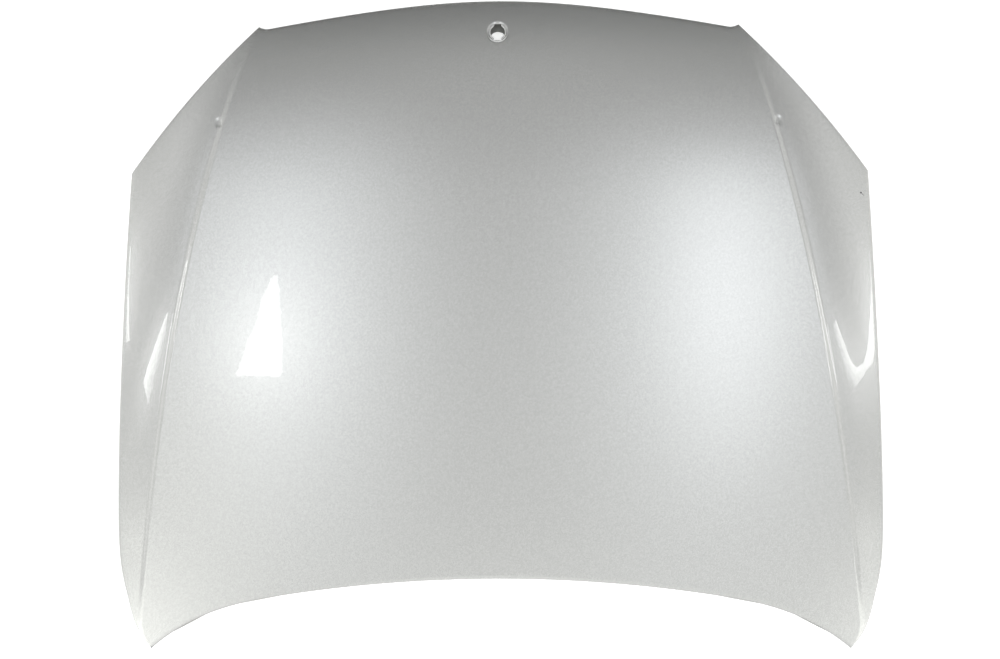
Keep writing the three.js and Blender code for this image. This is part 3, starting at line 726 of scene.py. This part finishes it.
def surface(tree, settings, links):
    """Adds the surface shader and joins it to the material's output."""
    shader = add_node(tree, "ShaderNodeBsdfPrincipled", settings, links)
    add_node(tree, "ShaderNodeOutputMaterial", {}, {"Surface": shader.outputs[0]})


def silver_paint(finish):
    """Metallic base coat with fine aluminium flakes under clear lacquer, sprayed on sheet.

    The flakes give a soft bright glow round each lamp, the lacquer a thin sharp mirror image of it
    that its orange peel ripples a little. Bare spots, and a dark spot at the left tip, show the dark
    primer colour.
    """
    material, tree = new_material("silver_metallic_lacquer")
    place = object_place(tree)
    grains = ranged(tree, cells(tree, place, FLAKE_SPACING, "Color"), (0.2, 0.9))
    tint = mix_colours(tree, grains, finish.silver, finish.flake)
    bare_or_dark = larger(tree, [patch(tree, place, *spot) for spot in BARE_AND_DARK_SPOTS])
    ripple = bump(tree, noise(tree, place, PEEL_SPACING, 1.0), PEEL_DEPTH)
    surface(tree, {
        "Metallic": 0.75,
        "Coat Weight": 1.0,
        "Coat Roughness": 0.02,
        "Coat IOR": 1.7,
    }, {
        "Base Color": mix_colours(tree, bare_or_dark, tint, finish.primer),
        "Roughness": ranged(tree, bare_or_dark, (0.0, 1.0), (0.26, 0.6)),
        "Normal": ripple,
        "Coat Normal": ripple,
    })
    return material


def thin_silver_over_primer():
    """Dip primer with a thin dusting of the silver base coat and no lacquer, as inside a bonnet.

    It looks duller and flatter than the outside and cloudy where the spray fell thin. Round the
    badge's hole it is painted black, as painted shade for the dark hollow seen through the hole.
    """
    material, tree = new_material("thin_silver_over_dip_primer")
    place = object_place(tree)
    clouds = noise(tree, place, OVERSPRAY_CLOUD, 5.0)
    thin = ranged(tree, clouds, (0.35, 0.7))
    sprayed = mix_colours(tree, thin, linear("b9bab5"), linear("9a9c98"))
    # Painted shade: a black, rough, non-metallic patch round the badge's hole stands in for the shadow
    # under the skin
    painted_shade_round_hole = patch(tree, place, in_frame(0, BADGE_S, -20), (0.036, 0.036, 0.08), ragged=14 * MM)
    surface(tree, {}, {
        "Base Color": mix_colours(tree, painted_shade_round_hole, sprayed, linear("060607")),
        "Metallic": ranged(tree, painted_shade_round_hole, (0.0, 1.0), (0.35, 0.0)),
        "Roughness": larger(tree, [ranged(tree, clouds, (0.3, 0.7), (0.42, 0.6)), painted_shade_round_hole]),
        "Normal": bump(tree, noise(tree, place, PEEL_SPACING, 3.0), 2 * PEEL_DEPTH),
    })
    return material


def zinc_plate():
    """Bright zinc plating with a clear passivation on pressed steel.

    It looks like pale grey metal with cloudy grain and a faint yellow and blue cast.
    """
    material, tree = new_material("passivated_zinc_plate")
    place = object_place(tree)
    clouds = noise(tree, place, ZINC_CLOUD, 4.0)
    cast = mix_colours(tree, clouds, linear("c3c2b6"), linear("b2b9c2"))
    grain = cells(tree, place, ZINC_GRAIN, "Distance")
    surface(tree, {"Metallic": 1.0}, {
        "Base Color": mix_colours(tree, grain, cast, linear("a3a6a8")),
        "Roughness": ranged(tree, clouds, (0.3, 0.7), (0.3, 0.48)),
        "Normal": bump(tree, grain, 0.02 * MM),
    })
    return material


def expanded_mastic():
    """Black anti-flutter mastic, squeezed between the sheets and baked until it swelled.

    It looks like matt dark rubber with a pitted, slightly lumpy skin.
    """
    material, tree = new_material("expanded_rubber_mastic")
    place = object_place(tree)
    lumps = noise(tree, place, MASTIC_LUMP, 4.0)
    pits = cells(tree, place, MASTIC_PIT, "Distance")
    surface(tree, {"Roughness": 0.75, "IOR": 1.52}, {
        "Base Color": mix_colours(tree, lumps, linear("1d1d1f"), linear("36363a")),
        "Normal": bump(tree, pits, 0.3 * MM, bump(tree, lumps, 1.0 * MM)),
    })
    return material


def add_piece(name, mesh):
    obj = bpy.data.objects.new(name, mesh)
    bpy.context.scene.collection.objects.link(obj)
    return obj


# Studio

def studio_sky():
    """World whose brightness is the sum of the soft lights."""
    world = bpy.data.worlds.new("studio")
    world.use_nodes = True
    sky = world.node_tree
    sky.nodes.clear()
    place = add_node(sky, "ShaderNodeTexCoord")
    split = add_node(sky, "ShaderNodeSeparateXYZ", {}, {"Vector": place.outputs["Generated"]})
    sideways = add_node(sky, "ShaderNodeMath", {"operation": "ARCTAN2"})
    sky.links.new(split.outputs["X"], sideways.inputs[0])
    sky.links.new(split.outputs["Z"], sideways.inputs[1])
    forwards = add_node(sky, "ShaderNodeMath", {"operation": "ARCSINE"})
    sky.links.new(split.outputs["Y"], forwards.inputs[0])
    turned = add_node(sky, "ShaderNodeCombineXYZ", {}, {
        "X": sideways.outputs[0], "Y": forwards.outputs[0],
    })
    total = None
    for name, centre, reach, strength, tint in SOFT_LIGHTS:
        aside = add_node(sky, "ShaderNodeMapping", {
            "vector_type": "TEXTURE",
            "Location": [math.radians(c) for c in centre] + [0],
            "Scale": [math.radians(r) for r in reach] + [1],
        }, {"Vector": turned.outputs[0]})
        distance = add_node(sky, "ShaderNodeVectorMath", {"operation": "LENGTH"})
        sky.links.new(aside.outputs[0], distance.inputs[0])
        glow = add_node(sky, "ShaderNodeMapRange", {
            "label": name, "interpolation_type": "SMOOTHSTEP", "From Min": 1.0, "From Max": 0.0,
            "To Min": 0.0, "To Max": strength,
        }, {"Value": distance.outputs["Value"]})
        tinted = add_node(sky, "ShaderNodeVectorMath", {"operation": "MULTIPLY_ADD"})
        sky.links.new(glow.outputs[0], tinted.inputs[0])
        tinted.inputs[1].default_value = tint
        if total is not None:
            sky.links.new(total, tinted.inputs[2])
        total = tinted.outputs[0]
    back = add_node(sky, "ShaderNodeBackground", {}, {"Color": total})
    add_node(sky, "ShaderNodeOutputWorld", {}, {"Surface": back.outputs[0]})
    return world


def light_card(name, height, strength, sharp, faded):
    """A lamp's face between two rows of corners, which the camera itself doesn't see."""
    bm = bmesh.new()
    glow = bm.verts.layers.float.new("glow")
    rows = []
    for row in ([corner + (1.0,) for corner in sharp], faded):
        made = []
        for x, y, share in row:
            made.append(bm.verts.new((x, y, height)))
            made[-1][glow] = share
        rows.append(made)
    for k in range(len(sharp) - 1):
        bm.faces.new((rows[0][k], rows[0][k + 1], rows[1][k + 1], rows[1][k]))
    bmesh.ops.recalc_face_normals(bm, faces=bm.faces)
    mesh = bpy.data.meshes.new(name)
    bm.to_mesh(mesh)
    bm.free()
    card = add_piece(name, mesh)
    card.visible_camera = False
    card.visible_shadow = False
    material, tree = new_material(name)
    amount = add_node(tree, "ShaderNodeAttribute", {"attribute_name": "glow"})
    bright = add_node(tree, "ShaderNodeMath", {"operation": "MULTIPLY"})
    tree.links.new(amount.outputs["Fac"], bright.inputs[0])
    bright.inputs[1].default_value = strength
    shine = add_node(tree, "ShaderNodeEmission", {}, {"Strength": bright.outputs[0]})
    clear = add_node(tree, "ShaderNodeBsdfTransparent")
    both = add_node(tree, "ShaderNodeAddShader")
    tree.links.new(shine.outputs[0], both.inputs[0])
    tree.links.new(clear.outputs[0], both.inputs[1])
    add_node(tree, "ShaderNodeOutputMaterial", {}, {"Surface": both.outputs[0]})
    mesh.materials.append(material)
    return card


class BonnetFinish(bpy.types.PropertyGroup):
    silver: bpy.props.FloatVectorProperty(
        name="Silver", description="Colour of the metallic base coat",
        subtype="COLOR", size=4, default=linear("c7c8c6"), min=0, max=1)
    flake: bpy.props.FloatVectorProperty(
        name="Flake", description="Colour of the brighter flakes",
        subtype="COLOR", size=4, default=linear("d0d1cf"), min=0, max=1)
    primer: bpy.props.FloatVectorProperty(
        name="Primer", description="Colour that shows where the paint is chipped or worn through",
        subtype="COLOR", size=4, default=linear("3f3f42"), min=0, max=1)
    skin_thickness: bpy.props.FloatProperty(
        name="Skin thickness", description="Thickness of the outer sheet",
        unit="LENGTH", default=1.1 * MM, min=0.0005, max=0.003)


class BonnetStudio(bpy.types.PropertyGroup):
    camera_height: bpy.props.FloatProperty(
        name="Camera height", description="Height of the camera over the floor",
        unit="LENGTH", default=5.6014, min=2, max=12)
    lens: bpy.props.FloatProperty(
        name="Lens", description="Focal length of the camera in millimetres",
        default=101.26, min=20, max=300)


class BONNET_OT_skin(bpy.types.Operator):
    """Draws the painted outer skin with its hem and badge seat"""
    bl_idname = "bonnet.skin"
    bl_label = "Painted skin"

    def execute(self, context):
        finish = context.scene.bonnet_finish
        skin = add_piece("painted_skin", build_skin_mesh())
        wall = skin.modifiers.new("sheet", "SOLIDIFY")
        wall.thickness = finish.skin_thickness
        wall.offset = -1
        wall.use_even_offset = False
        skin.data.materials.append(silver_paint(finish))
        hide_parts("outer_panel")
        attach(skin, "root")
        return {"FINISHED"}


class BONNET_OT_finishes(bpy.types.Operator):
    """Gives the inner panel, reinforcements, fasteners, striker and mastic their finishes"""
    bl_idname = "bonnet.finishes"
    bl_label = "Finishes"

    def execute(self, context):
        inside = thin_silver_over_primer()
        zinc = zinc_plate()
        mastic = expanded_mastic()
        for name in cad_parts:
            material = zinc
            if name == "inner_panel":
                material = inside
            elif name.startswith("mastic"):
                material = mastic
            elif name == "outer_panel":
                continue
            obj = bpy.data.objects[name]
            obj.data.materials.clear()
            obj.data.materials.append(material)
        return {"FINISHED"}


class BONNET_OT_stage(bpy.types.Operator):
    """Sets the floor, the soft lights and the camera"""
    bl_idname = "bonnet.stage"
    bl_label = "Floor, lights and camera"

    def execute(self, context):
        scene = context.scene
        studio = scene.bonnet_studio
        scene.view_settings.view_transform = "Standard"

        camera = bpy.data.cameras.new("photo_camera")
        camera.lens = studio.lens
        camera.sensor_width = 36
        view = bpy.data.objects.new("photo_camera", camera)
        view.location = (CAMERA_ACROSS, CAMERA_ALONG, studio.camera_height)
        view.rotation_euler = Euler([math.radians(a) for a in CAMERA_TURN], "XYZ")
        scene.collection.objects.link(view)
        scene.camera = view

        bm = bmesh.new()
        bmesh.ops.create_grid(bm, x_segments=4, y_segments=4, size=FLOOR_REACH)
        floor_mesh = bpy.data.meshes.new("floor")
        bm.to_mesh(floor_mesh)
        bm.free()
        floor = add_piece("floor", floor_mesh)
        material, tree = new_material("studio_floor")
        surface(tree, {
            "Base Color": linear("f2f2f2"),
            "Roughness": 0.7,
            "Emission Color": linear("ffffff"),
            "Emission Strength": FLOOR_GLOW,
        }, {})
        floor.data.materials.append(material)

        scene.world = studio_sky()
        for card in CARDS:
            light_card(*card)
        return {"FINISHED"}


class BONNET_PT_panel(bpy.types.Panel):
    """Lists the steps that make the bonnet"""
    bl_idname = "BONNET_PT_panel"
    bl_label = "Car bonnet"
    bl_space_type = "VIEW_3D"
    bl_region_type = "UI"
    bl_category = "Bonnet"

    def draw(self, context):
        layout = self.layout
        finish = context.scene.bonnet_finish
        studio = context.scene.bonnet_studio
        layout.prop(finish, "silver")
        layout.prop(finish, "flake")
        layout.prop(finish, "primer")
        layout.prop(finish, "skin_thickness")
        layout.operator(BONNET_OT_skin.bl_idname)
        layout.operator(BONNET_OT_finishes.bl_idname)
        layout.prop(studio, "camera_height")
        layout.prop(studio, "lens")
        layout.operator(BONNET_OT_stage.bl_idname)


CLASSES = (
    BonnetFinish,
    BonnetStudio,
    BONNET_OT_skin,
    BONNET_OT_finishes,
    BONNET_OT_stage,
    BONNET_PT_panel,
)


def register():
    for cls in CLASSES:
        bpy.utils.register_class(cls)
    bpy.types.Scene.bonnet_finish = bpy.props.PointerProperty(type=BonnetFinish)
    bpy.types.Scene.bonnet_studio = bpy.props.PointerProperty(type=BonnetStudio)


def unregister():
    del bpy.types.Scene.bonnet_studio
    del bpy.types.Scene.bonnet_finish
    for cls in reversed(CLASSES):
        bpy.utils.unregister_class(cls)


def main():
    register()
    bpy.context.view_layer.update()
    bpy.ops.bonnet.stage()
    bpy.ops.bonnet.skin()
    bpy.ops.bonnet.finishes()


if __name__ == "__main__":
    main()
